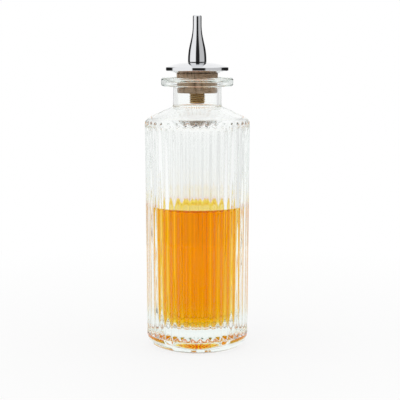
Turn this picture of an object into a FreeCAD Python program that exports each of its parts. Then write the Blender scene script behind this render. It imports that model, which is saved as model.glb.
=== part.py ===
"""Bitters bottle: reeded glass bottle, amber fill and a cork stopper with a screwed-in pouring dasher.

Millimetres, +Z up, origin at the centre of the bottle's foot on the table.
"""
import FreeCAD, Part
import math
import os

# Reeded glass body
body_diameter = 49.6  # over the rib crests at the shoulder
foot_diameter = 48.2  # over the rib crests at the table
shoulder_height = 108.6  # where the shoulder cone would meet the rib crests
shoulder_slope = 24.7  # degrees from level
shoulder_round = 3.5
heel_round = 6.5
rib_count = 40
rib_depth = 1.2
rib_relief = 0.05  # by which the plain glass stands proud of the rib crests
rib_foot_height = 6.5  # where the ribs run out into the plain heel
punt_depth = 4.0  # hollow under the foot
punt_flat_diameter = 18.0
punt_round = 6.0
foot_ring_diameter = 32.0  # inner edge of the flat ring that stands on the table
foot_ring_round = 1.5

# Neck and lip
neck_diameter = 22.9
neck_length = 9.15
neck_round = 1.2  # where the neck leaves the shoulder
neck_wall = 1.65  # at the mouth
lip_overhang = 5.6
lip_height = 4.2
lip_round = 1.2
lip_root_round = 0.8  # under the lip
mouth_flare_width = 5.2  # how far the mouth opens out at the top of the lip
mouth_flare_height = 2.1
mouth_round = 0.5

# Inside of the bottle
shoulder_wall = 2.5  # from the rib crests to the inside, at the shoulder
foot_wall = 5.6  # from the rib crests to the inside, at the floor
shoulder_glass = 3.0  # across the shoulder cone
base_thickness = 10.5
floor_round = 8.0
inner_shoulder_round = 4.0
throat_round = 1.5  # where the inside of the shoulder meets the bore
fill_depth = 55.5
fill_clearance = 0.05

# Cork stopper
cork_length = 9.2
cork_proud = 2.0  # height of the cork above the lip
cork_taper = 2.5  # degrees
cork_clearance = 0.05  # between the cork and the mouth
cork_foot_round = 0.6
cork_head_round = 0.3

# Hollow brass shank with its thread
shank_diameter = 7.5
shank_below_cork = 5.1
shank_bore = 4.4
bore_step_depth = 2.5  # from the shoulder under the flange down to where the bore widens
shank_chamfer = 0.5
thread_pitch = 1.0
thread_depth = 0.5
thread_crest = 0.2  # flat on top of the ridge
thread_flank = 30.0  # degrees
thread_clearance = 0.1  # between the thread crests and the cork
spigot_diameter = 4.6  # narrow upper end that passes through the flange
spigot_engagement = 6.0  # length of spigot inside the spout
spigot_clearance = 0.05
stack_clearance = 0.03  # between the flange and what holds it from above and below

# Chromed flange
flange_overhang = 4.95  # beyond the cork
flange_ledge = 1.2  # flat under the rim, outside the seat cone
seat_cone_height = 1.1
seat_cone_round = 0.4
rim_height = 1.65
rim_round = 0.35
dome_height = 2.25
dome_break_inset = 5.0  # from the rim to where the dome flattens
dome_break_drop = 0.5  # from the top of the dome to where it flattens
dome_round = 25.0

# Chromed spout
spout_height = 21.88
bulb_diameter = 8.72
bulb_height = 4.4  # from the foot to the start of the taper
taper_length = 10.0
taper_round = 30.0
tip_diameter = 4.12
tip_round = 0.7
spout_foot_round = 0.25
channel_diameter = 2.4
dash_hole_diameter = 1.6
dash_hole_length = 2.0
socket_end_gap = 0.3  # above the end of the spigot

# Sizes that follow from the ones above
body_radius = body_diameter / 2
foot_radius = foot_diameter / 2
neck_radius = neck_diameter / 2
lip_radius = neck_radius + lip_overhang
mouth_radius = neck_radius - neck_wall
shoulder_rise = math.tan(math.radians(shoulder_slope))
cork_slope = math.tan(math.radians(cork_taper))

neck_base = shoulder_height + (body_radius - neck_radius) * shoulder_rise
lip_bottom = neck_base + neck_length
lip_top = lip_bottom + lip_height
flare_bottom = lip_top - mouth_flare_height
cork_top = lip_top + cork_proud
cork_bottom = cork_top - cork_length
shank_bottom = cork_bottom - shank_below_cork
rim_bottom = cork_top + seat_cone_height
rim_top = rim_bottom + rim_height
flange_top = rim_top + dome_height
spout_foot = flange_top + stack_clearance
spout_top = spout_foot + spout_height
spigot_top = spout_foot + spigot_engagement

shank_radius = shank_diameter / 2
spigot_radius = spigot_diameter / 2
channel_radius = channel_diameter / 2
bulb_radius = bulb_diameter / 2
fill_level = base_thickness + fill_depth


def mouth_radius_at(height):
    """Radius of the tapered mouth at a height above the table."""
    return mouth_radius - (lip_top - height) * cork_slope


cork_top_radius = mouth_radius_at(cork_top) - cork_clearance
cork_bottom_radius = mouth_radius_at(cork_bottom) - cork_clearance
bore_radius = mouth_radius_at(cork_bottom)
flange_radius = cork_top_radius + flange_overhang


def corner_reaches(points, rounds):
    """Distance from each corner to the ends of its arc; arcs that would meet are shortened alike."""
    most_of_side = 0.98
    count = len(points)
    reaches = []
    for i, rounding in enumerate(rounds):
        back = points[i - 1] - points[i]
        forth = points[(i + 1) % count] - points[i]
        reaches.append(rounding / math.tan(back.getAngle(forth) / 2))
    shares = []
    for i in range(count):
        needed = reaches[i] + reaches[(i + 1) % count]
        length = most_of_side * (points[(i + 1) % count] - points[i]).Length
        shares.append(min(1, length / needed) if needed > 0 else 1)
    return [reach * min(shares[i - 1], shares[i]) for i, reach in enumerate(reaches)]


def corner_arc(before, here, after, reach):
    """Start, middle and end of the tangent arc that rounds a corner."""
    back = (before - here).normalize()
    forth = (after - here).normalize()
    half_angle = back.getAngle(forth) / 2
    radius = reach * math.tan(half_angle)
    bisector = (back + forth).normalize()
    centre = here + bisector * (radius / math.sin(half_angle))
    return here + back * reach, centre - bisector * radius, here + forth * reach


def outline(corners):
    """Closed wire in the XZ plane through (radius, height, round) corners; a round of 0 stays sharp."""
    points = [FreeCAD.Vector(radius, 0, height) for radius, height, _ in corners]
    reaches = corner_reaches(points, [rounding for _, _, rounding in corners])
    count = len(points)
    starts = []
    ends = []
    arcs = []
    for i, reach in enumerate(reaches):
        if reach > 0:
            start, middle, end = corner_arc(points[i - 1], points[i], points[(i + 1) % count], reach)
            arcs.append(Part.Arc(start, middle, end).toShape())
        else:
            start = end = points[i]
            arcs.append(None)
        starts.append(start)
        ends.append(end)
    edges = []
    for i in range(count):
        if arcs[i]:
            edges.append(arcs[i])
        edges.append(Part.makeLine(ends[i], starts[(i + 1) % count]))
    return Part.Wire(edges)


def turned(corners):
    """Solid of revolution about the Z axis."""
    return Part.Face(outline(corners)).revolve(FreeCAD.Vector(), FreeCAD.Vector(0, 0, 1), 360)


def inside_radius_at(height):
    """Radius of the bottle's straight, slightly tapered inside wall."""
    at_floor = foot_radius - foot_wall
    at_shoulder = body_radius - shoulder_wall
    share = (height - base_thickness) / (shoulder_height - base_thickness)
    return at_floor + (at_shoulder - at_floor) * share


def inner_shoulder_height(radius):
    """Height of the inside of the shoulder cone at a radius."""
    outside = shoulder_height + (body_radius - radius) * shoulder_rise
    return outside - shoulder_glass / math.cos(math.radians(shoulder_slope))


def inside_corners():
    """Corners of the bottle's inside, from the mouth down to the floor."""
    wall = inside_radius_at(shoulder_height)
    return [
        (mouth_radius + mouth_flare_width, lip_top, mouth_round),
        (mouth_radius_at(flare_bottom), flare_bottom, mouth_round),
        (bore_radius, cork_bottom, 0),
        (bore_radius, inner_shoulder_height(bore_radius), throat_round),
        (wall, inner_shoulder_height(wall), inner_shoulder_round),
        (inside_radius_at(base_thickness), base_thickness, floor_round),
        (0, base_thickness, 0),
    ]


def rib_ring(radius, height):
    """Star-shaped wire with one straight-sided rib per step, its crests at the radius."""
    points = []
    for i in range(2 * rib_count + 1):
        angle = math.pi * i / rib_count
        reach = radius - rib_depth * (i % 2)
        points.append(FreeCAD.Vector(reach * math.cos(angle), reach * math.sin(angle), height))
    return Part.makePolygon(points)


def ribbed_body():
    """Solid inside the rib flanks, filled out to the plain heel below the ends of the ribs."""
    flare = (body_radius - foot_radius) / shoulder_height
    low_ring = rib_ring(foot_radius, 0)
    high_ring = rib_ring(foot_radius + flare * lip_top, lip_top)
    heel_radius = max(foot_radius, foot_radius + flare * rib_foot_height) + 2 * rib_relief
    run_out = rib_depth + 4 * rib_relief
    heel = turned([
        (0, -rib_depth, 0),
        (heel_radius, -rib_depth, 0),
        (heel_radius, rib_foot_height, 0),
        (heel_radius - run_out, rib_foot_height + run_out, 0),
        (0, rib_foot_height + run_out, 0),
    ])
    return Part.makeLoft([low_ring, high_ring], True, True).fuse(heel)


def glass_bottle():
    """Reeded bottle: a turned wall whose plain side is cut back to the ribs."""
    wall = turned([
        (0, punt_depth, 0),
        (punt_flat_diameter / 2, punt_depth, punt_round),
        (foot_ring_diameter / 2, 0, foot_ring_round),
        (foot_radius + rib_relief, 0, heel_round),
        (body_radius + rib_relief, shoulder_height, shoulder_round),
        (neck_radius, neck_base, neck_round),
        (neck_radius, lip_bottom, lip_root_round),
        (lip_radius, lip_bottom, lip_round),
        (lip_radius, lip_top, lip_round),
    ] + inside_corners())
    return wall.common(ribbed_body())


def bitters_liquid():
    """Amber fill, standing just clear of the glass."""
    floor = base_thickness + fill_clearance
    return turned([
        (0, floor, 0),
        (inside_radius_at(floor) - fill_clearance, floor, floor_round),
        (inside_radius_at(fill_level) - fill_clearance, fill_level, 0),
        (0, fill_level, 0),
    ])


def cork_stopper():
    """Tapered cork, bored for the shank."""
    hole_radius = shank_radius + thread_clearance
    return turned([
        (hole_radius, cork_bottom, 0),
        (cork_bottom_radius, cork_bottom, cork_foot_round),
        (cork_top_radius, cork_top, cork_head_round),
        (hole_radius, cork_top, 0),
    ])


def thread_ridge(bottom, top, root_radius):
    """Right-hand helical ridge that sinks a little into the shank's core and runs past both ends."""
    sink = thread_depth / 10
    half_crest = thread_crest / 2
    half_base = half_crest + (thread_depth + sink) * math.tan(math.radians(thread_flank))
    start = bottom - thread_pitch
    section = Part.makePolygon([
        FreeCAD.Vector(root_radius - sink, 0, start - half_base),
        FreeCAD.Vector(shank_radius, 0, start - half_crest),
        FreeCAD.Vector(shank_radius, 0, start + half_crest),
        FreeCAD.Vector(root_radius - sink, 0, start + half_base),
        FreeCAD.Vector(root_radius - sink, 0, start - half_base),
    ])
    helix = Part.makeHelix(thread_pitch, top - bottom + 2 * thread_pitch, shank_radius)
    helix.translate(FreeCAD.Vector(0, 0, start))
    return Part.Wire(helix.Edges).makePipeShell([section], True, True)


def threaded_shank():
    """Hollow brass shank: a threaded lower length and a narrow spigot that carries the spout."""
    shoulder = cork_top - stack_clearance
    root_radius = shank_radius - thread_depth
    clear_radius = shank_radius + thread_depth
    bore_end = shoulder - bore_step_depth
    rod_bottom = shank_bottom - 3 * thread_pitch
    rod_top = spigot_top + 3 * thread_pitch
    rod = Part.makeCylinder(root_radius, rod_top - rod_bottom, FreeCAD.Vector(0, 0, rod_bottom))
    room = turned([
        (shank_bore / 2, shank_bottom, 0),
        (shank_radius - shank_chamfer, shank_bottom, 0),
        (clear_radius, shank_bottom + shank_chamfer + thread_depth, 0),
        (clear_radius, shoulder, 0),
        (spigot_radius, shoulder, 0),
        (spigot_radius, spigot_top, 0),
        (channel_radius, spigot_top, 0),
        (channel_radius, bore_end, 0),
        (shank_bore / 2, bore_end, 0),
    ])
    return rod.fuse(thread_ridge(shank_bottom, shoulder, root_radius)).common(room)


def dasher_flange():
    """Round chromed flange: domed above, thin at the rim, with a cone below that seats on the cork."""
    hole_radius = spigot_radius + spigot_clearance
    return turned([
        (hole_radius, cork_top, 0),
        (cork_top_radius, cork_top, seat_cone_round),
        (flange_radius - flange_ledge, rim_bottom, seat_cone_round),
        (flange_radius, rim_bottom, rim_round),
        (flange_radius, rim_top, rim_round),
        (flange_radius - dome_break_inset, flange_top - dome_break_drop, dome_round),
        (bulb_radius, flange_top, 0),
        (hole_radius, flange_top, 0),
    ])


def dasher_spout():
    """Vase-shaped chromed spout with a socket for the spigot, a channel and a dash hole at the tip."""
    socket_radius = spigot_radius + spigot_clearance
    socket_top = spigot_top + socket_end_gap
    taper_start = spout_foot + bulb_height
    return turned([
        (socket_radius, spout_foot, 0),
        (bulb_radius, spout_foot, spout_foot_round),
        (bulb_radius, taper_start, taper_round),
        (tip_diameter / 2, taper_start + taper_length, taper_round),
        (tip_diameter / 2, spout_top, tip_round),
        (dash_hole_diameter / 2, spout_top, 0),
        (dash_hole_diameter / 2, spout_top - dash_hole_length, 0),
        (channel_radius, spout_top - dash_hole_length, 0),
        (channel_radius, socket_top, 0),
        (socket_radius, socket_top, 0),
    ])


parts = {
    "glass_bottle": glass_bottle(),
    "bitters_liquid": bitters_liquid(),
    "cork_stopper": cork_stopper(),
    "threaded_shank": threaded_shank(),
    "dasher_flange": dasher_flange(),
    "dasher_spout": dasher_spout(),
}
os.makedirs("parts", exist_ok=True)
for node, shape in parts.items():
    shape.exportStep(f"parts/{node}.step")
    print(f"{node}: {len(shape.Solids)} solid, valid {shape.isValid()}, {shape.Volume / 1000:.2f} ml")

brimful = turned([(0, lip_top, 0)] + inside_corners())
print(f"height {spout_top:.2f} mm, brimful {brimful.Volume / 1000:.1f} ml")
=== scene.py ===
import math

import bpy
import numpy as np
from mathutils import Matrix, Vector


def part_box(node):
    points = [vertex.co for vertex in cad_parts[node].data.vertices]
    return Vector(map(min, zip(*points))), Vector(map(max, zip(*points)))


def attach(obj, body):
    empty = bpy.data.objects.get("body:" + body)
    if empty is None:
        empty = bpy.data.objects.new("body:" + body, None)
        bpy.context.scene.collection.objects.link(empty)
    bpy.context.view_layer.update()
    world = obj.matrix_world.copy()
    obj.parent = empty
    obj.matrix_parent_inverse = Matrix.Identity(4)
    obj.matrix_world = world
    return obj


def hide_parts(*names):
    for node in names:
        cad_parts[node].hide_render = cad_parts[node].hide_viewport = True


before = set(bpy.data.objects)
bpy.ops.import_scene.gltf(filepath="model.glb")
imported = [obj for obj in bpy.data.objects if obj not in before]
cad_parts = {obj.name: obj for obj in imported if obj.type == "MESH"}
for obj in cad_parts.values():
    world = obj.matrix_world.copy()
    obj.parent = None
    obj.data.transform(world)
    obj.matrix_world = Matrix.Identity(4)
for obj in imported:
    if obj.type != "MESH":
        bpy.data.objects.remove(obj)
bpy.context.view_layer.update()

bl_info = {
    "name": "Bitters Bottle",
    "version": (1, 0, 0),
    "blender": (4, 5, 0),
    "location": "View3D > Sidebar > Bottle",
    "description": (
        "Builds a reeded glass bitters bottle with its fill, cork and chromed pouring dasher"
    ),
    "category": "Add Mesh",
}

FILL_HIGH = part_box("bitters_liquid")[1]
CORK_LOW, CORK_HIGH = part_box("cork_stopper")
SHANK_LOW, SHANK_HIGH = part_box("threaded_shank")
FLANGE_LOW, FLANGE_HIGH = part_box("dasher_flange")
SPOUT_LOW, SPOUT_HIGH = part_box("dasher_spout")

# Columns to a rib of the glass, and round each other piece.
RIB_COLUMNS = 16
FILL_COLUMNS = 192
CORK_COLUMNS = 220
SHANK_COLUMNS = 96
FLANGE_COLUMNS = 256
SPOUT_COLUMNS = 128
FLOOR_COLUMNS = 96

# Rows that no outline gives. Those where the ribs run out reach a little past both ends of the
# run-out, and those of the fill's surface crowd towards the glass.
RUN_OUT_ROWS = 7
RUN_OUT_SPAN = (-0.1, 1.1)
SURFACE_ROWS = 40
SURFACE_CROWDING = 1.8
THREAD_ROWS = 330
FLOOR_RINGS = 10

# Limits of an outline: the share of a side that its two arcs may take, the least length to divide
# by, and the fewest and most steps in a straight run.
ARC_SHARE = 0.98
LEAST_LENGTH = 1e-9
RUN_STEPS = (2, 24)

# A fold sharper than this is shaded as an edge.
CRISP_EDGE = math.radians(42)

# Round of an edge that is only broken, in metres.
FINE_ROUND = 0.0001

# Small sizes of the glass, in metres.
RIB_RELIEF = 0.00005
RIB_BLEND = 0.00004
RIB_FADE_LENGTH = 0.008
PUNT_ROUND = 0.006
FOOT_RING_ROUND = 0.0015
NECK_BASE_ROUND = 0.0012
NECK_TOP_ROUND = 0.0008
MOUTH_ROUND = 0.0005
THROAT_ROUND = 0.0015
INNER_SHOULDER_ROUND = 0.004

# Heights at which the frost on the foot starts to fade and is gone, in metres.
FROSTED_FOOT = (0.0002, 0.0012)

# Edges of the cork, in metres.
CORK_FOOT_ROUND = 0.0006
CORK_HEAD_ROUND = 0.0003

# The cork's pits: the seed of their draw, their least and most share of the stated width and,
# squared, of the depth, their width to their height, and the share of the head's radius beyond
# which they lie.
PIT_SEED = 7
PIT_WIDTHS = (0.3, 1.0)
PIT_DEPTHS = (0.2, 1.0)
PIT_FLATNESS = 0.45
CORK_SIDE_FROM = 0.9

# Small sizes of the shank, in metres, and the rise of a flank at 60 degrees to the axis.
SHOULDER_GAP = 0.00003
THREAD_HALF_CREST = 0.0001
THREAD_FLANK = math.sqrt(3)
THREAD_BLEND = 0.00002
SPIGOT_END_ROUND = 0.0002

# Small sizes of the flange and spout, in metres.
SEAT_ROUND = 0.0004
DOME_ROUND = 0.025
SPOUT_FOOT_ROUND = 0.00025
DASH_HOLE_ROUND = 0.0002

# Distances from a seam at which the painted shade on the chrome starts to fade and is gone, in
# metres.
SEAM_FADE = (0.00015, 0.0004)

# Nearly all of a noise lies between these values.
NOISE_SPAN = (0.3, 0.7)

# The stage: the floor's depth in metres, the camera's sensor in millimetres, and how often light
# may pass through glass and turn on mirrors.
FLOOR_DEPTH = 0.002
SENSOR_WIDTH = 36
GLASS_BOUNCES = 32
MIRROR_BOUNCES = 16
WHITE = (1, 1, 1)


def length(name, description, default):
    """A size, kept in metres and shown in the scene's length unit."""
    return bpy.props.FloatProperty(
        name=name, description=description, default=default, min=0.0, precision=5, unit="LENGTH"
    )


def share(name, description, default):
    """A plain number between nothing and one."""
    return bpy.props.FloatProperty(
        name=name, description=description, default=default, min=0.0, max=1.0, subtype="FACTOR"
    )


def count(name, description, default, least):
    """A whole number."""
    return bpy.props.IntProperty(name=name, description=description, default=default, min=least)


def angle(name, description, default):
    """An angle, given here in degrees."""
    return bpy.props.FloatProperty(
        name=name, description=description, default=math.radians(default), subtype="ANGLE"
    )


def colour(name, description, default):
    """A linear colour."""
    return bpy.props.FloatVectorProperty(
        name=name,
        description=description,
        default=default,
        size=3,
        min=0.0,
        max=1.0,
        subtype="COLOR",
    )


class GlassSizes(bpy.types.PropertyGroup):
    """Sizes of the reeded glass bottle."""

    body_diameter: length("Body diameter", "Over the rib crests at the shoulder", 0.0496)
    foot_diameter: length("Foot diameter", "Over the rib crests at the table", 0.0482)
    shoulder_height: length(
        "Shoulder height", "Where the shoulder cone would meet the crests", 0.1086
    )
    shoulder_slope: angle("Shoulder slope", "Rise of the shoulder cone from level", 24.7)
    shoulder_round: length(
        "Shoulder round", "Radius between the side and the shoulder cone", 0.0035
    )
    heel_round: length("Heel round", "Radius between the side and the foot", 0.0065)
    rib_count: count("Ribs", "Number of ribs round the body", 40, 3)
    rib_depth: length("Rib depth", "From crest to valley", 0.0012)
    rib_foot: length("Rib foot", "Height at which the ribs run out into the plain heel", 0.0065)
    rib_fade: share("Rib fade", "Share of their depth that the ribs lose towards the shoulder", 0.8)
    punt_depth: length("Punt depth", "Hollow under the foot", 0.004)
    punt_flat_diameter: length("Punt flat", "Flat in the middle of the hollow", 0.018)
    foot_ring_diameter: length(
        "Foot ring", "Inner edge of the ring that stands on the table", 0.032
    )
    neck_diameter: length("Neck diameter", "Outside of the neck", 0.0229)
    neck_length: length("Neck length", "From the shoulder cone to the lip", 0.00915)
    neck_wall: length("Neck wall", "Thickness at the mouth", 0.00165)
    lip_overhang: length("Lip overhang", "Width of the lip beyond the neck", 0.0056)
    lip_height: length("Lip height", "Thickness of the flat lip", 0.0042)
    flare_width: length("Flare width", "How far the mouth opens out at the top of the lip", 0.0052)
    flare_height: length("Flare height", "Depth of the opened mouth", 0.0021)
    lip_round: length("Lip round", "Radius along the lip's edge", 0.0012)
    shoulder_wall: length("Shoulder wall", "From the crests to the inside, at the shoulder", 0.0025)
    foot_wall: length("Foot wall", "From the crests to the inside, at the floor", 0.0056)
    shoulder_glass: length("Shoulder glass", "Thickness of the shoulder cone", 0.003)
    base_thickness: length("Base thickness", "Solid glass under the fill", 0.0105)
    floor_round: length("Floor round", "Radius between the floor and the inside wall", 0.008)
    bore_taper: angle("Bore taper", "Taper of the mouth that takes the cork", 2.5)


class FillSizes(bpy.types.PropertyGroup):
    """Sizes of the amber fill."""

    level: length("Level", "Height of the surface above the table", FILL_HIGH.z)
    wall_overlap: length(
        "Wall overlap", "How far the fill reaches into the glass, so that no air shows", 0.00003
    )
    climb: length("Climb", "Rise of the surface where it wets the glass", 0.0017)
    climb_reach: length("Climb reach", "Distance over which the rise fades", 0.0018)


class StopperSizes(bpy.types.PropertyGroup):
    """Sizes of the cork and of the brass shank that it holds."""

    cork_bottom_diameter: length("Cork foot", "Diameter at the cork's lower end", 0.01887)
    hole_diameter: length("Cork hole", "Hole for the shank", 0.0077)
    pit_depth: length("Pit depth", "Deepest pit in the cork", 0.00045)
    pit_size: length("Pit size", "Typical width of a pit", 0.0007)
    pit_count: count("Pits", "Number of pits in the cork", 150, 1)
    shank_diameter: length("Shank diameter", "Over the thread crests", 0.0075)
    shank_bore: length("Shank bore", "Hole up the shank", 0.0044)
    shank_chamfer: length("Shank chamfer", "Bevel at the lower end", 0.0005)
    thread_pitch: length("Thread pitch", "Rise of the thread in one turn", 0.001)
    thread_depth: length("Thread depth", "From crest to root", 0.0005)
    spigot_diameter: length("Spigot diameter", "Narrow upper end inside the spout", 0.0046)
    bore_step_depth: length("Bore step", "From the shoulder down to where the bore widens", 0.0025)


class DasherSizes(bpy.types.PropertyGroup):
    """Sizes of the chromed flange and spout."""

    seat_diameter: length("Seat diameter", "Flange where it sits on the cork", 0.019675)
    seat_height: length("Seat height", "Height of the cone under the rim", 0.0011)
    ledge: length("Ledge", "Flat under the rim, outside the cone", 0.0012)
    rim_height: length("Rim height", "Height of the thin rim", 0.00165)
    rim_round: length("Rim round", "Radius along the rim's edges", 0.00035)
    dome_inset: length("Dome inset", "From the rim to where the dome flattens", 0.005)
    dome_drop: length("Dome drop", "From the dome's top to where it flattens", 0.0005)
    bulb_diameter: length("Bulb diameter", "Widest part of the spout", 0.00872)
    bulb_height: length("Bulb height", "From the spout's foot to its taper", 0.0044)
    taper_length: length("Taper length", "Height over which the spout narrows", 0.01)
    taper_round: length("Taper round", "Radius at both ends of the taper", 0.03)
    tip_diameter: length("Tip diameter", "Straight end of the spout", 0.00412)
    tip_round: length("Tip round", "Radius along the tip's edge", 0.0007)
    channel_diameter: length("Channel", "Bore inside the spout", 0.0024)
    dash_hole_diameter: length("Dash hole", "Hole in the tip", 0.0016)
    dash_hole_length: length("Dash hole length", "Depth of the hole in the tip", 0.002)
    spigot_clearance: length("Spigot clearance", "Room round the shank's spigot", 0.00005)
    socket_depth: length("Socket depth", "From the spout's foot to the end of its socket", 0.0063)


class Finishes(bpy.types.PropertyGroup):
    """Colours of the bottle's materials."""

    glass: colour(
        "Glass", "Colour that the glass lets through at a surface", (0.985, 0.992, 0.987)
    )
    glass_depth: colour("Glass depth", "Colour that thick glass turns to", (0.86, 0.94, 0.90))
    amber: colour("Amber", "Colour that the fill lets through at a surface", (1.0, 0.985, 0.94))
    amber_depth: colour(
        "Amber depth", "Colour that the fill turns to as it gets deeper", (0.997, 0.942, 0.0)
    )
    # Painted reflection: a yellow colour for the fill's level surface, which the material makes a
    # metal mirror at a slant.
    amber_painted_sheen: colour("Amber painted sheen", "Sheen of the fill's level surface", (1.0, 0.8, 0.12))
    cork: colour("Cork", "Body of the cork", (0.46, 0.29, 0.17))
    cork_pale: colour("Pale cork", "Lighter grain of the cork", (0.66, 0.49, 0.34))
    cork_dark: colour("Dark cork", "Pores and streaks in the cork", (0.09, 0.045, 0.02))
    brass: colour("Brass", "Clean brass", (0.68, 0.51, 0.24))
    # Painted shade: a dark brass for the thread's roots, where shade falls.
    brass_root_shade: colour("Brass root shade", "Brass in the roots of the thread", (0.26, 0.15, 0.06))
    chrome: colour("Chrome", "Polished chrome", (0.82, 0.83, 0.85))
    # Painted shade: a near-black chrome colour for the seams between pieces, where shade falls.
    chrome_seam_shade: colour(
        "Chrome seam shade", "Chrome in the seams between pieces", (0.06, 0.06, 0.065)
    )


class StageLook(bpy.types.PropertyGroup):
    """Floor, studio and camera."""

    floor_radius: length("Floor radius", "Size of the floor round the bottle", 0.3)
    floor_colour: colour("Floor colour", "Colour of the floor", (0.93, 0.93, 0.925))
    shadow_share: share(
        "Shadow share", "How much of the floor's own shading shows on the white", 0.15
    )
    lens: bpy.props.FloatProperty(
        name="Lens",
        description="Focal length for a 36 mm sensor",
        default=106.0,
        min=1.0,
        unit="CAMERA",
    )
    distance: length("Distance", "From the camera to the point aimed at", 0.561)
    aim_height: length("Aim height", "Height of the point aimed at", 0.07)
    aim_side: length(
        "Aim side", "Distance of the point aimed at to the right of the bottle's axis", 0.0013
    )
    tilt: angle("Tilt", "How far the camera looks down", 7.2)
    turn: angle("Turn", "How far the camera has moved round to the right", 1.1)


def rounded_outline(corners, arc_rows=8, run_step=0.003, closed=True):
    """Profile rows (radius, height) through (radius, height, round) corners.

    A rounded corner becomes the circle arc tangent to its two sides; where the arcs at both ends of
    a side would meet, they are shortened alike. A straight run is split by cosine spacing, which
    crowds rows towards both of its ends.
    """
    points = np.array([corner[:2] for corner in corners], float)
    rounds = np.array([corner[2] for corner in corners], float)
    sides = np.roll(points, -1, 0) - points
    lengths = np.linalg.norm(sides, axis=1)
    forth = sides / lengths[:, None]
    back = -np.roll(forth, 1, 0)
    half = 0.5 * np.arccos(np.clip((back * forth).sum(1), -1, 1))
    reach = rounds / np.tan(half)
    wanted = np.maximum(reach + np.roll(reach, -1), LEAST_LENGTH)
    room = np.minimum(1, ARC_SHARE * lengths / wanted)
    reach = reach * np.minimum(room, np.roll(room, 1))
    arcs = []
    for i, here in enumerate(points):
        if rounds[i] == 0:
            arcs.append(here[None])
            continue
        radius = reach[i] * math.tan(half[i])
        bisector = (back[i] + forth[i]) / np.linalg.norm(back[i] + forth[i])
        centre = here + bisector * radius / math.sin(half[i])
        first = (here + back[i] * reach[i] - centre) / radius
        last = (here + forth[i] * reach[i] - centre) / radius
        sweep = math.pi - 2 * half[i]
        part = np.linspace(0, 1, arc_rows)[:, None]
        swung = np.sin((1 - part) * sweep) * first + np.sin(part * sweep) * last
        arcs.append(centre + radius * swung / math.sin(sweep))
    rows = []
    for i, arc in enumerate(arcs):
        rows.append(arc)
        if i == len(arcs) - 1 and not closed:
            break
        start = arc[-1]
        end = arcs[(i + 1) % len(arcs)][0]
        steps = int(np.clip(np.linalg.norm(end - start) / run_step, *RUN_STEPS))
        part = 0.5 - 0.5 * np.cos(np.pi * np.arange(1, steps) / steps)
        rows.append(start + (end - start) * part[:, None])
    return np.concatenate(rows)


def turned_mesh(name, radius, height, angles, closed=True):
    """Mesh from a profile carried round the Z axis.

    point = (radius cos angle, radius sin angle, height), with one row per profile point and one
    column per angle. The profile runs with the outside on its right, so faces point outwards. A
    closed profile joins its last row to its first; an open one starts and ends on the axis, where
    each end becomes a single point with a fan of triangles.
    """
    radius, height = np.broadcast_arrays(radius, height)
    points = np.stack([radius * np.cos(angles), radius * np.sin(angles), height], -1)
    rows, columns = radius.shape
    if closed:
        index = np.arange(rows * columns).reshape(rows, columns)
        index = np.concatenate([index, index[:1]])
        verts = points.reshape(-1, 3)
    else:
        index = np.arange((rows - 2) * columns).reshape(rows - 2, columns) + 1
        verts = np.concatenate([points[0, :1], points[1:-1].reshape(-1, 3), points[-1, :1]])
    low = index[:-1]
    high = index[1:]
    quads = np.stack([low, np.roll(low, -1, 1), np.roll(high, -1, 1), high], -1).reshape(-1, 4)
    fans = np.zeros((0, 3), int)
    if not closed:
        first = np.stack([np.zeros(columns, int), np.roll(index[0], -1), index[0]], -1)
        last = np.stack([np.full(columns, len(verts) - 1), index[-1], np.roll(index[-1], -1)], -1)
        fans = np.concatenate([first, last])
    loops = np.concatenate([quads.ravel(), fans.ravel()])
    fan_starts = len(quads) * 4 + np.arange(len(fans)) * 3
    starts = np.concatenate([np.arange(len(quads)) * 4, fan_starts])
    mesh = bpy.data.meshes.new(name)
    mesh.vertices.add(len(verts))
    mesh.vertices.foreach_set("co", verts.astype(np.float32).ravel())
    mesh.loops.add(len(loops))
    mesh.loops.foreach_set("vertex_index", loops.astype(np.int32))
    mesh.polygons.add(len(starts))
    mesh.polygons.foreach_set("loop_start", starts.astype(np.int32))
    mesh.polygons.foreach_set("use_smooth", np.ones(len(starts), bool))
    mesh.update(calc_edges=True)
    mesh.set_sharp_from_angle(angle=CRISP_EDGE)
    return mesh


def even_angles(columns):
    """Angles of evenly spaced columns, starting at +X."""
    return np.arange(columns) * (2 * np.pi / columns)


def round_mesh(name, outline, columns, closed=True):
    """Mesh from (radius, height) rows that are the same all the way round."""
    height = np.repeat(outline[:, 1:], columns, 1)
    return turned_mesh(name, outline[:, :1], height, even_angles(columns), closed)


def place(mesh, material, body, node):
    """Adds a finished piece that rides on a body, stands for a solid and takes a slot's finish."""
    piece = bpy.data.objects.new(mesh.name, mesh)
    bpy.context.scene.collection.objects.link(piece)
    mesh.materials.append(material)
    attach(piece, body)
    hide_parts(node)


def inside_radius(glass, height):
    """Radius of the bottle's straight inside wall: a line from the floor to the shoulder."""
    at_floor = glass.foot_diameter / 2 - glass.foot_wall
    at_shoulder = glass.body_diameter / 2 - glass.shoulder_wall
    part = (height - glass.base_thickness) / (glass.shoulder_height - glass.base_thickness)
    return at_floor + (at_shoulder - at_floor) * part


def crest_lean(glass):
    """How far the rib crests lean out for each metre of height."""
    return (glass.body_diameter - glass.foot_diameter) / 2 / glass.shoulder_height


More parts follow.
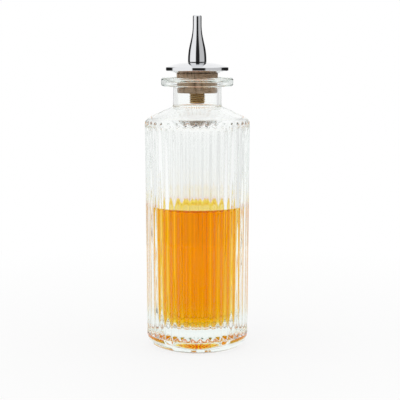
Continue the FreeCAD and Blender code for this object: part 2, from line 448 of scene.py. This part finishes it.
def glass_outline(glass):
    """Profile of the bottle, from the middle of the punt to the middle of the floor.

    It runs out under the foot, up the side, over shoulder, neck and lip, and down the inside. The
    side stands a hair outside the rib crests, and has a few rows more where the ribs run out.
    """
    foot = glass.foot_diameter / 2 + RIB_RELIEF
    body = glass.body_diameter / 2
    neck = glass.neck_diameter / 2
    lip = neck + glass.lip_overhang
    rise = math.tan(glass.shoulder_slope)
    taper = math.tan(glass.bore_taper)
    neck_base = glass.shoulder_height + (body - neck) * rise
    lip_bottom = neck_base + glass.neck_length
    lip_top = lip_bottom + glass.lip_height
    mouth = neck - glass.neck_wall
    bore = mouth - (lip_top - CORK_LOW.z) * taper
    drop = glass.shoulder_glass / math.cos(glass.shoulder_slope)
    # The inside wall meets the inside of the shoulder cone at this height.
    lean = inside_radius(glass, 1) - inside_radius(glass, 0)
    inner_shoulder = glass.shoulder_height + (body - inside_radius(glass, 0)) * rise - drop
    inner_shoulder = inner_shoulder / (1 + lean * rise)
    run_out = glass.rib_foot + np.linspace(*RUN_OUT_SPAN, RUN_OUT_ROWS) * glass.rib_depth
    return rounded_outline([
        (0, glass.punt_depth, 0),
        (glass.punt_flat_diameter / 2, glass.punt_depth, PUNT_ROUND),
        (glass.foot_ring_diameter / 2, 0, FOOT_RING_ROUND),
        (foot, 0, glass.heel_round),
        *[(foot + crest_lean(glass) * level, level, 0) for level in run_out],
        (body + RIB_RELIEF, glass.shoulder_height, glass.shoulder_round),
        (neck, neck_base, NECK_BASE_ROUND),
        (neck, lip_bottom, NECK_TOP_ROUND),
        (lip, lip_bottom, glass.lip_round),
        (lip, lip_top, glass.lip_round),
        (mouth + glass.flare_width, lip_top, MOUTH_ROUND),
        (mouth - glass.flare_height * taper, lip_top - glass.flare_height, MOUTH_ROUND),
        (bore, CORK_LOW.z, 0),
        (bore, glass.shoulder_height + (body - bore) * rise - drop, THROAT_ROUND),
        (inside_radius(glass, inner_shoulder), inner_shoulder, INNER_SHOULDER_ROUND),
        (inside_radius(glass, glass.base_thickness), glass.base_thickness, glass.floor_round),
        (0, glass.base_thickness, 0),
    ], arc_rows=7, run_step=0.006, closed=False)


def rib_radius(glass, height, angles):
    """Radius of the reeded side: a cosine wave round the body, with a crest at +X.

    radius = crest - depth (1 - cos(ribs angle)) / 2. The crests lean in evenly from the shoulder to
    the foot, and the depth fades over the last few millimetres below the shoulder. Below the rib
    foot the grooves are full of glass; above it they deepen at 45 degrees to their full depth.
    """
    crest = glass.foot_diameter / 2 + crest_lean(glass) * height
    rise = np.clip((height - glass.shoulder_height) / RIB_FADE_LENGTH + 1, 0, 1)
    depth = glass.rib_depth * (1 - glass.rib_fade * rise ** 2 * (3 - 2 * rise))
    ribbed = crest - depth * (0.5 - 0.5 * np.cos(angles * glass.rib_count))
    filled = crest - np.maximum(height - glass.rib_foot, 0)
    return -soft_min(-ribbed, -filled, RIB_BLEND)


def soft_min(a, b, blend):
    """Smooth minimum: -blend log(exp(-a / blend) + exp(-b / blend))."""
    least = np.minimum(a, b)
    return least - blend * np.log1p(np.exp(-np.abs(a - b) / blend))


def add(tree, kind, inputs=None, **settings):
    """Adds a shader node; inputs holds values or the sockets linked to it, settings its options."""
    made = tree.nodes.new("ShaderNode" + kind)
    for key, value in settings.items():
        setattr(made, key, value)
    for key, value in (inputs or {}).items():
        if isinstance(value, bpy.types.NodeSocket):
            tree.links.new(value, made.inputs[key])
        else:
            made.inputs[key].default_value = value
    return made


def new_material(name):
    """An empty node material with its tree, its output and the piece's own coordinates."""
    material = bpy.data.materials.new(name)
    material.use_nodes = True
    tree = material.node_tree
    tree.nodes.clear()
    output = add(tree, "OutputMaterial")
    coordinates = add(tree, "TexCoord").outputs["Object"]
    return material, tree, output, coordinates


def worked(tree, operation, *values):
    """Number worked out from one, two or three others."""
    return add(tree, "Math", dict(enumerate(values)), operation=operation).outputs[0]


def upright(tree, vector):
    """Z of a vector: for a piece's coordinates, the height above the table."""
    return add(tree, "SeparateXYZ", {0: vector}).outputs["Z"]


def reach_of(tree, vector):
    """Length of a vector."""
    return add(tree, "VectorMath", {0: vector}, operation="LENGTH").outputs["Value"]


def noise(tree, coordinates, scale, detail=3.0, roughness=0.5, stretch=(1, 1, 1)):
    """Noise on the piece's coordinates, which are scaled along the axes by stretch."""
    mapped = add(tree, "Mapping", {"Vector": coordinates, "Scale": stretch}).outputs[0]
    settings = {"Vector": mapped, "Scale": scale, "Detail": detail, "Roughness": roughness}
    return add(tree, "TexNoise", settings).outputs["Fac"]


def remap(tree, value, span, to_span):
    """Value moved from one span to another, and held at its ends."""
    settings = {"Value": value, 1: span[0], 2: span[1], 3: to_span[0], 4: to_span[1]}
    return add(tree, "MapRange", settings).outputs[0]


def mixed(tree, factor, a, b):
    """Colour between a and b."""
    colours = [c if isinstance(c, bpy.types.NodeSocket) else (*c, 1.0) for c in (a, b)]
    return add(tree, "Mix", {0: factor, 6: colours[0], 7: colours[1]}, data_type="RGBA").outputs[2]


def shaded(tree, factor, tint, least):
    """Colour that sinks to a share of itself, least, as the factor rises to one."""
    return mixed(tree, factor, tint, [channel * least for channel in tint])


def bump(tree, height, strength, distance):
    """Normal bent by a height."""
    settings = {"Height": height, "Strength": strength, "Distance": distance}
    return add(tree, "Bump", settings).outputs[0]


def pressed_glass(finish):
    """Clear pressed glass: slightly wavy, grey-green where it is thick, frosted where it stands."""
    material, tree, output, here = new_material("pressed_glass")
    wave = noise(tree, here, scale=90, detail=2, stretch=(1, 1, 0.35))
    cloud = noise(tree, here, scale=40)
    polish = remap(tree, cloud, NOISE_SPAN, (0.0, 0.012))
    frost = remap(tree, upright(tree, here), FROSTED_FOOT, (0.7, 0.0))
    surface = add(tree, "BsdfPrincipled", {
        "Base Color": shaded(tree, cloud, finish.glass, least=0.985),
        "Roughness": worked(tree, "MAXIMUM", polish, frost),
        "Normal": bump(tree, wave, strength=0.25, distance=0.0004),
        "IOR": 1.52,
        "Specular Tint": (0.12, 0.12, 0.12, 1.0),
        "Transmission Weight": 1.0,
    })
    depth = add(tree, "VolumeAbsorption", {"Color": (*finish.glass_depth, 1.0), "Density": 14.0})
    tree.links.new(surface.outputs[0], output.inputs["Surface"])
    tree.links.new(depth.outputs[0], output.inputs["Volume"])
    return material


def amber_bitters(finish):
    """Clear amber liquid that deepens from yellow to orange with its thickness.

    From outside, its level surface is clear from above and a painted yellow mirror at a slant.
    """
    material, tree, output, here = new_material("amber_bitters")
    cloud = noise(tree, here, scale=60)
    upward = upright(tree, add(tree, "TexCoord").outputs["Normal"])
    outer = remap(tree, add(tree, "NewGeometry").outputs["Backfacing"], (0, 1), (1, 0))
    level = remap(tree, upward, (0.6, 0.9), (0, 1))
    top = worked(tree, "MULTIPLY", level, outer)
    slant = add(tree, "LayerWeight", {"Blend": 0.5}).outputs["Facing"]
    mirror = worked(tree, "MULTIPLY", top, slant)
    side = shaded(tree, cloud, finish.amber, least=0.97)
    # Painted reflection: the level top takes a yellow colour and turns to metal at a slant, so it
    # mirrors yellow.
    surface = add(tree, "BsdfPrincipled", {
        "Base Color": mixed(tree, top, side, finish.amber_painted_sheen),
        "Roughness": remap(tree, cloud, NOISE_SPAN, (0.0, 0.01)),
        "IOR": 1.36,
        "Metallic": remap(tree, mirror, (0, 1), (0, 0.95)),
        "Specular Tint": mixed(tree, top, (0.05, 0.05, 0.05), (1, 0.9, 0.35)),
        "Transmission Weight": 1.0,
    })
    depth = add(tree, "VolumeAbsorption", {"Color": (*finish.amber_depth, 1.0), "Density": 500.0})
    tree.links.new(surface.outputs[0], output.inputs["Surface"])
    tree.links.new(depth.outputs[0], output.inputs["Volume"])
    return material


def natural_cork(finish):
    """Natural cork: mottled grain, fine dark cells and dark upright streaks."""
    material, tree, output, here = new_material("natural_cork")
    mottle = noise(tree, here, scale=320, detail=5, roughness=0.6)
    grain = noise(tree, here, scale=2200, detail=4, roughness=0.6)
    streak = noise(tree, here, scale=900, detail=3, stretch=(1, 1, 0.22))
    pale = remap(tree, mottle, (0.35, 0.65), (0, 1))
    streaked = remap(tree, streak, (0.56, 0.70), (0, 0.85))
    celled = remap(tree, grain, (0.52, 0.75), (0, 0.5))
    body = mixed(tree, pale, finish.cork, finish.cork_pale)
    body = mixed(tree, streaked, body, finish.cork_dark)
    body = mixed(tree, celled, body, finish.cork_dark)
    height = worked(tree, "SUBTRACT", grain, streak)
    surface = add(tree, "BsdfPrincipled", {
        "Base Color": body,
        "Roughness": remap(tree, mottle, NOISE_SPAN, (0.72, 0.92)),
        "Normal": bump(tree, height, strength=0.6, distance=0.0003),
    })
    tree.links.new(surface.outputs[0], output.inputs["Surface"])
    return material


def turned_brass(stopper, finish):
    """Turned brass: fine turning marks, clean thread crests and painted shade in the roots."""
    material, tree, output, here = new_material("turned_brass")
    flat = add(tree, "VectorMath", {0: here, 1: (1, 1, 0)}, operation="MULTIPLY").outputs[0]
    crest = stopper.shank_diameter / 2
    # Painted shade: the brass darkens from crest to root of the thread, and random wear dulls it
    # further.
    out_of_root_shade = remap(tree, reach_of(tree, flat), (crest - stopper.thread_depth, crest), (0, 1))
    dull = noise(tree, here, scale=700, detail=4)
    root_shade_and_wear = worked(tree, "MULTIPLY", out_of_root_shade, remap(tree, dull, NOISE_SPAN, (0.55, 1.0)))
    marks = noise(tree, here, scale=2500, detail=2, stretch=(0.15, 0.15, 4))
    surface = add(tree, "BsdfPrincipled", {
        "Base Color": mixed(tree, root_shade_and_wear, finish.brass_root_shade, finish.brass),
        "Metallic": 1.0,
        "Roughness": remap(tree, root_shade_and_wear, (0, 1), (0.42, 0.22)),
        "Normal": bump(tree, marks, strength=0.15, distance=0.0001),
    })
    tree.links.new(surface.outputs[0], output.inputs["Surface"])
    return material


def polished_chrome(finish, seam):
    """Polished chrome with a faint haze of fingermarks and very fine turning lines.

    It has painted shade close to the height of the seam where the piece meets the one below.
    """
    material, tree, output, here = new_material("polished_chrome")
    haze = noise(tree, here, scale=180, detail=5, roughness=0.6)
    lines = noise(tree, here, scale=3000, detail=2, stretch=(0.1, 0.1, 3))
    clean = shaded(tree, haze, finish.chrome, least=0.95)
    away = worked(tree, "ABSOLUTE", worked(tree, "SUBTRACT", upright(tree, here), seam))
    clear = remap(tree, away, SEAM_FADE, (0, 1))
    surface = add(tree, "BsdfPrincipled", {
        # Painted shade: the chrome sinks to the seam colour near the seam and is clean away from
        # it.
        "Base Color": mixed(tree, clear, finish.chrome_seam_shade, clean),
        "Metallic": 1.0,
        "Roughness": remap(tree, haze, (0.3, 0.75), (0.03, 0.09)),
        "Normal": bump(tree, lines, strength=0.03, distance=0.00005),
    })
    tree.links.new(surface.outputs[0], output.inputs["Surface"])
    return material


class BuildGlass(bpy.types.Operator):
    """Builds the reeded glass bottle"""

    bl_idname = "bottle.glass"
    bl_label = "Reeded Glass"

    def execute(self, context):
        glass = context.scene.bottle_glass
        outline = glass_outline(glass)
        angles = even_angles(RIB_COLUMNS * glass.rib_count)
        height = outline[:, 1:]
        radius = soft_min(outline[:, :1], rib_radius(glass, height, angles), RIB_BLEND)
        radius[[0, -1]] = 0
        mesh = turned_mesh("reeded_glass", radius, height, angles, closed=False)
        material = pressed_glass(context.scene.bottle_finish)
        place(mesh, material, "bottle", "glass_bottle")
        return {"FINISHED"}


class BuildFill(bpy.types.Operator):
    """Builds the amber fill with its surface drawn up against the glass"""

    bl_idname = "bottle.fill"
    bl_label = "Amber Fill"

    def execute(self, context):
        glass = context.scene.bottle_glass
        fill = context.scene.bottle_fill
        floor = glass.base_thickness - fill.wall_overlap
        top = fill.level + fill.climb
        wall = inside_radius(glass, top) + fill.wall_overlap
        side = rounded_outline([
            (0, floor, 0),
            (inside_radius(glass, floor) + fill.wall_overlap, floor, glass.floor_round),
            (wall, top, 0),
        ], arc_rows=12, closed=False)
        # The surface climbs the glass as level + climb exp(-(wall - radius) / reach), and its rows
        # crowd towards the wall.
        radius = wall * (1 - np.linspace(0, 1, SURFACE_ROWS)[1:] ** SURFACE_CROWDING)
        surface = fill.level + fill.climb * np.exp((radius - wall) / fill.climb_reach)
        outline = np.concatenate([side, np.stack([radius, surface], -1)])
        mesh = round_mesh("amber_fill", outline, FILL_COLUMNS, closed=False)
        material = amber_bitters(context.scene.bottle_finish)
        place(mesh, material, "bottle", "bitters_liquid")
        return {"FINISHED"}


class BuildCork(bpy.types.Operator):
    """Builds the tapered cork with its pits"""

    bl_idname = "bottle.cork"
    bl_label = "Cork"

    def execute(self, context):
        stopper = context.scene.bottle_stopper
        hole = stopper.hole_diameter / 2
        head = CORK_HIGH.x
        outline = rounded_outline([
            (hole, CORK_LOW.z, 0),
            (stopper.cork_bottom_diameter / 2, CORK_LOW.z, CORK_FOOT_ROUND),
            (head, CORK_HIGH.z, CORK_HEAD_ROUND),
            (hole, CORK_HIGH.z, 0),
        ], run_step=0.0003)
        angles = even_angles(CORK_COLUMNS)
        radius = np.repeat(outline[:, :1], CORK_COLUMNS, 1)
        height = np.repeat(outline[:, 1:], CORK_COLUMNS, 1)
        # Each pit is a bell-shaped dent in the side, depth exp(-(distance / width)^2), taller than
        # it is wide.
        rng = np.random.default_rng(PIT_SEED)
        turn = rng.uniform(0, 2 * np.pi, stopper.pit_count)
        level = rng.uniform(CORK_LOW.z, CORK_HIGH.z, stopper.pit_count)
        width = stopper.pit_size * rng.uniform(*PIT_WIDTHS, stopper.pit_count)
        depth = stopper.pit_depth * rng.uniform(*PIT_DEPTHS, stopper.pit_count) ** 2
        across = (angles[None, :, None] - turn + np.pi) % (2 * np.pi) - np.pi
        apart = (across * head) ** 2 + (PIT_FLATNESS * (height[:, :, None] - level)) ** 2
        dent = (depth * np.exp(-apart / width ** 2)).sum(2)
        dent = np.minimum(dent, stopper.pit_depth) * (radius > CORK_SIDE_FROM * head)
        mesh = turned_mesh("tapered_cork", np.maximum(radius - dent, hole), height, angles)
        place(mesh, natural_cork(context.scene.bottle_finish), "stopper", "cork_stopper")
        return {"FINISHED"}


class BuildShank(bpy.types.Operator):
    """Builds the hollow brass shank with its thread"""

    bl_idname = "bottle.shank"
    bl_label = "Threaded Shank"

    def execute(self, context):
        stopper = context.scene.bottle_stopper
        crest = stopper.shank_diameter / 2
        shoulder = CORK_HIGH.z - SHOULDER_GAP
        step = shoulder - stopper.bore_step_depth
        bore = stopper.shank_bore / 2
        channel = context.scene.bottle_dasher.channel_diameter / 2
        spigot = stopper.spigot_diameter / 2
        angles = even_angles(SHANK_COLUMNS)
        threaded = np.linspace(SHANK_LOW.z, shoulder, THREAD_ROWS)
        # The thread is a trapezoid wave of (height / pitch - angle / full turn), cut back by the
        # bevel at the lower end.
        phase = (threaded[:, None] - SHANK_LOW.z) / stopper.thread_pitch - angles / (2 * np.pi)
        from_crest = np.abs(phase - np.round(phase)) * stopper.thread_pitch
        cut = np.clip((from_crest - THREAD_HALF_CREST) * THREAD_FLANK, 0, stopper.thread_depth)
        bevel = crest - stopper.shank_chamfer + threaded[:, None] - SHANK_LOW.z
        outside = soft_min(crest - cut, bevel, THREAD_BLEND)
        rest = rounded_outline([
            (spigot, shoulder, 0),
            (spigot, SHANK_HIGH.z, SPIGOT_END_ROUND),
            (channel, SHANK_HIGH.z, FINE_ROUND),
            (channel, step, 0),
            (bore, step, 0),
            (bore, SHANK_LOW.z, FINE_ROUND),
        ], closed=False)
        radius = np.concatenate([outside, np.repeat(rest[:, :1], SHANK_COLUMNS, 1)])
        height = np.concatenate([threaded, rest[:, 1]])[:, None]
        mesh = turned_mesh("brass_shank", radius, height, angles)
        material = turned_brass(stopper, context.scene.bottle_finish)
        place(mesh, material, "dasher", "threaded_shank")
        return {"FINISHED"}


class BuildFlange(bpy.types.Operator):
    """Builds the domed chromed flange over the cork"""

    bl_idname = "bottle.flange"
    bl_label = "Chromed Flange"

    def execute(self, context):
        dasher = context.scene.bottle_dasher
        hole = context.scene.bottle_stopper.spigot_diameter / 2 + dasher.spigot_clearance
        rim = FLANGE_HIGH.x
        rim_bottom = FLANGE_LOW.z + dasher.seat_height
        rim_top = rim_bottom + dasher.rim_height
        outline = rounded_outline([
            (hole, FLANGE_LOW.z, FINE_ROUND),
            (dasher.seat_diameter / 2, FLANGE_LOW.z, SEAT_ROUND),
            (rim - dasher.ledge, rim_bottom, SEAT_ROUND),
            (rim, rim_bottom, dasher.rim_round),
            (rim, rim_top, dasher.rim_round),
            (rim - dasher.dome_inset, FLANGE_HIGH.z - dasher.dome_drop, DOME_ROUND),
            (dasher.bulb_diameter / 2, FLANGE_HIGH.z, 0),
            (hole, FLANGE_HIGH.z, 0),
        ], arc_rows=12, run_step=0.0005)
        mesh = round_mesh("chrome_flange", outline, FLANGE_COLUMNS)
        material = polished_chrome(context.scene.bottle_finish, FLANGE_LOW.z)
        place(mesh, material, "flange", "dasher_flange")
        return {"FINISHED"}


class BuildSpout(bpy.types.Operator):
    """Builds the chromed spout with its channel and dash hole"""

    bl_idname = "bottle.spout"
    bl_label = "Chromed Spout"

    def execute(self, context):
        dasher = context.scene.bottle_dasher
        socket = context.scene.bottle_stopper.spigot_diameter / 2 + dasher.spigot_clearance
        bulb = dasher.bulb_diameter / 2
        nozzle = dasher.tip_diameter / 2
        channel = dasher.channel_diameter / 2
        hole = dasher.dash_hole_diameter / 2
        foot = SPOUT_LOW.z
        tip = SPOUT_HIGH.z
        taper = foot + dasher.bulb_height
        outline = rounded_outline([
            (socket, foot, 0),
            (bulb, foot, SPOUT_FOOT_ROUND),
            (bulb, taper, dasher.taper_round),
            (nozzle, taper + dasher.taper_length, dasher.taper_round),
            (nozzle, tip, dasher.tip_round),
            (hole, tip, DASH_HOLE_ROUND),
            (hole, tip - dasher.dash_hole_length, 0),
            (channel, tip - dasher.dash_hole_length, 0),
            (channel, foot + dasher.socket_depth, 0),
            (socket, foot + dasher.socket_depth, 0),
        ], arc_rows=16, run_step=0.0005)
        mesh = round_mesh("chrome_spout", outline, SPOUT_COLUMNS)
        material = polished_chrome(context.scene.bottle_finish, foot)
        place(mesh, material, "dasher", "dasher_spout")
        return {"FINISHED"}


def pale_floor(stage):
    """Pale floor: matte to the light, near white to the eye with a share of its own shadow.

    The shadow fades out towards the floor's edge.
    """
    material, tree, output, here = new_material("pale_floor")
    speck = noise(tree, here, scale=300)
    tint = shaded(tree, speck, stage.floor_colour, least=0.98)
    matte = add(tree, "BsdfDiffuse", {"Color": tint})
    white = add(tree, "Emission", {"Color": (*WHITE, 1), "Strength": 1.0})
    path = add(tree, "LightPath")
    seen = worked(tree, "MAXIMUM", path.outputs["Is Camera Ray"], path.outputs["Is Glossy Ray"])
    seen = worked(tree, "MAXIMUM", seen, path.outputs["Is Transmission Ray"])
    fade = (0.1 * stage.floor_radius, 0.95 * stage.floor_radius)
    veil = remap(tree, reach_of(tree, here), fade, (1 - stage.shadow_share, 1.0))
    veil = worked(tree, "MULTIPLY", seen, veil)
    both = add(tree, "MixShader", {0: veil, 1: matte.outputs[0], 2: white.outputs[0]})
    tree.links.new(both.outputs[0], output.inputs["Surface"])
    return material


def grey_ramp(tree, around, stops):
    """Greys by compass direction, from (degrees, grey) stops; around is 0 to 1 over a full turn."""
    ramp = add(tree, "ValToRGB", {0: around})
    elements = ramp.color_ramp.elements
    while len(elements) < len(stops):
        elements.new(0.5)
    for element, (degrees, grey) in zip(elements, stops):
        element.position = degrees / 360 + 0.5
        element.color = (grey, grey, grey, 1.0)
    return ramp.outputs["Color"]


def studio_world():
    """White room with screens, by compass direction.

    A dark screen stands behind the camera and one at the back on each side; the right is grey. The
    azimuth is measured from the camera's side, towards the right. Overhead the room is white.
    Through glass the screens are pale, and those at the back are narrower.
    """
    world = bpy.data.worlds.new("studio")
    world.use_nodes = True
    tree = world.node_tree
    tree.nodes.clear()
    direction = add(tree, "SeparateXYZ", {0: add(tree, "TexCoord").outputs["Generated"]})
    toward = worked(tree, "MULTIPLY", direction.outputs["Y"], -1.0)
    azimuth = worked(tree, "ARCTAN2", direction.outputs["X"], toward)
    around = worked(tree, "MULTIPLY_ADD", azimuth, 1 / (2 * math.pi), 0.5)
    screens = grey_ramp(tree, around, [
        (-166, 1.0), (-160, 0.02), (-104, 0.02), (-97, 1.0),
        (-19, 1.0), (-15, 0.02), (28, 0.02), (34, 0.62),
        (97, 0.62), (104, 0.02), (160, 0.02), (166, 1.0),
    ])
    through_glass = grey_ramp(tree, around, [
        (-152, 1.0), (-148, 0.88), (-122, 0.88), (-118, 1.0),
        (-19, 1.0), (-15, 0.9), (28, 0.9), (34, 0.95),
        (114, 0.95), (118, 0.8), (148, 0.8), (152, 1.0),
    ])
    path = add(tree, "LightPath")
    room = mixed(tree, path.outputs["Is Transmission Ray"], screens, through_glass)
    overhead = remap(tree, direction.outputs["Z"], (0.45, 0.75), (0, 1))
    room = mixed(tree, overhead, room, WHITE)
    seen = mixed(tree, path.outputs["Is Camera Ray"], room, WHITE)
    light = add(tree, "Background", {"Color": seen, "Strength": 1.0})
    output = add(tree, "OutputWorld")
    tree.links.new(light.outputs[0], output.inputs["Surface"])
    return world


def studio_camera(stage):
    """Camera that looks down at the aimed point from its distance, turned round to the right."""
    level = math.cos(stage.tilt)
    forward = Vector((
        -math.sin(stage.turn) * level, math.cos(stage.turn) * level, -math.sin(stage.tilt)
    ))
    right = Vector((math.cos(stage.turn), math.sin(stage.turn), 0))
    aim = Vector((0, 0, stage.aim_height)) + right * stage.aim_side
    data = bpy.data.cameras.new("camera")
    data.lens = stage.lens
    data.sensor_width = SENSOR_WIDTH
    camera = bpy.data.objects.new("camera", data)
    camera.location = aim - forward * stage.distance
    camera.rotation_euler = forward.to_track_quat("-Z", "Y").to_euler()
    return camera


class BuildStage(bpy.types.Operator):
    """Sets the floor, the studio light and the camera"""

    bl_idname = "bottle.stage"
    bl_label = "Stage"

    def execute(self, context):
        scene = context.scene
        stage = scene.bottle_stage
        # The floor is a flat disc, closed below by a shallow cone.
        rings = np.linspace(0.1, 1.0, FLOOR_RINGS)[::-1] * stage.floor_radius
        outline = np.array([(0.0, -FLOOR_DEPTH), *[(ring, 0.0) for ring in rings], (0.0, 0.0)])
        floor_mesh = round_mesh("floor", outline, FLOOR_COLUMNS, closed=False)
        floor_mesh.materials.append(pale_floor(stage))
        floor = bpy.data.objects.new("floor", floor_mesh)
        scene.collection.objects.link(floor)
        scene.world = studio_world()
        # Light crosses and turns inside the ribs many times before it leaves the glass.
        scene.cycles.max_bounces = GLASS_BOUNCES
        scene.cycles.transmission_bounces = GLASS_BOUNCES
        scene.cycles.glossy_bounces = MIRROR_BOUNCES
        scene.view_settings.view_transform = "Standard"
        camera = studio_camera(stage)
        scene.collection.objects.link(camera)
        scene.camera = camera
        return {"FINISHED"}


class BottlePanel(bpy.types.Panel):
    """Sizes, colours and build steps of the bottle"""

    bl_idname = "BOTTLE_PT_build"
    bl_label = "Bitters Bottle"
    bl_space_type = "VIEW_3D"
    bl_region_type = "UI"
    bl_category = "Bottle"

    def draw(self, context):
        for name in GROUPS:
            box = self.layout.box()
            group = getattr(context.scene, name)
            for key in group.bl_rna.properties.keys():
                if key not in ("rna_type", "name"):
                    box.prop(group, key)
        for operator in OPERATORS:
            self.layout.operator(operator.bl_idname)


GROUPS = {
    "bottle_glass": GlassSizes,
    "bottle_fill": FillSizes,
    "bottle_stopper": StopperSizes,
    "bottle_dasher": DasherSizes,
    "bottle_finish": Finishes,
    "bottle_stage": StageLook,
}
OPERATORS = (BuildGlass, BuildFill, BuildCork, BuildShank, BuildFlange, BuildSpout, BuildStage)


def register():
    for kind in (*GROUPS.values(), *OPERATORS, BottlePanel):
        bpy.utils.register_class(kind)
    for name, kind in GROUPS.items():
        setattr(bpy.types.Scene, name, bpy.props.PointerProperty(type=kind))


def unregister():
    for name in GROUPS:
        delattr(bpy.types.Scene, name)
    for kind in (BottlePanel, *OPERATORS, *GROUPS.values()):
        bpy.utils.unregister_class(kind)


def main():
    register()
    bpy.ops.bottle.glass()
    bpy.ops.bottle.fill()
    bpy.ops.bottle.cork()
    bpy.ops.bottle.shank()
    bpy.ops.bottle.flange()
    bpy.ops.bottle.spout()
    bpy.ops.bottle.stage()
    bpy.context.view_layer.update()


if __name__ == "__main__":
    main()
